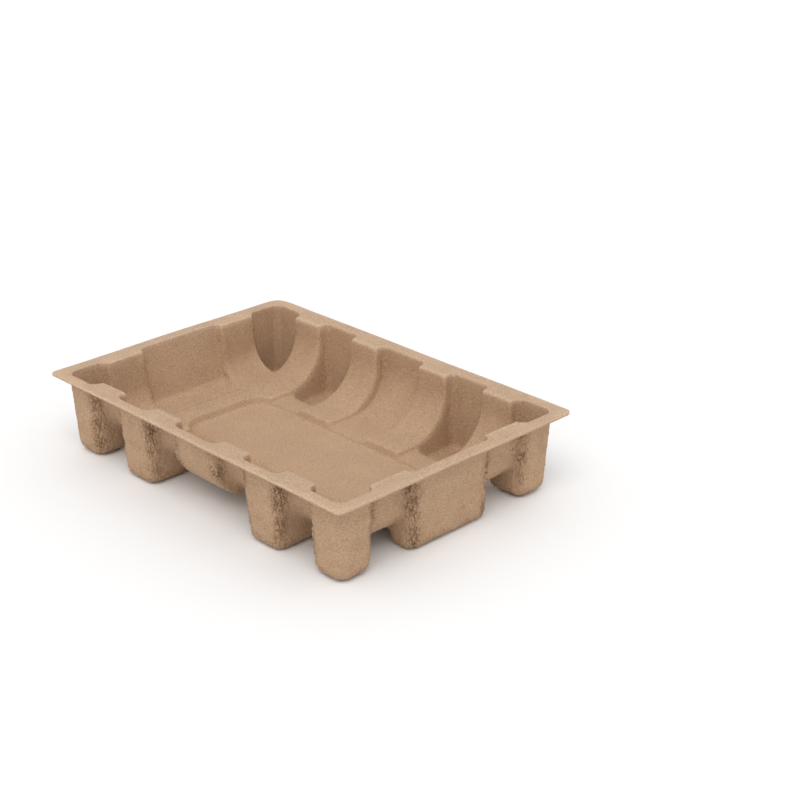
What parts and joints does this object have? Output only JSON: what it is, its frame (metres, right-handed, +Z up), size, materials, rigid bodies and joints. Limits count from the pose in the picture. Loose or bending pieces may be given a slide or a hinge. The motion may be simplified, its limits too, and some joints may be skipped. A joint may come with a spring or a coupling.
{
  "type": "molded pulp insert",
  "caption": "Moulded pulp tray with a flat rim, curved ribs around a sunken floor panel and deep foot pockets, to cushion a boxed product.",
  "frame": {"origin": "centre of the bounding box at the ground under the feet", "axes": "+X along the length towards the deep pad, +Y across the width, +Z up out of the open side"},
  "size_m": [0.3, 0.212, 0.059],
  "materials": {
    "pulp": "matte"
  },
  "bodies": {
    "root": {"pulp_tray": "pulp"}
  },
  "joints": []
}
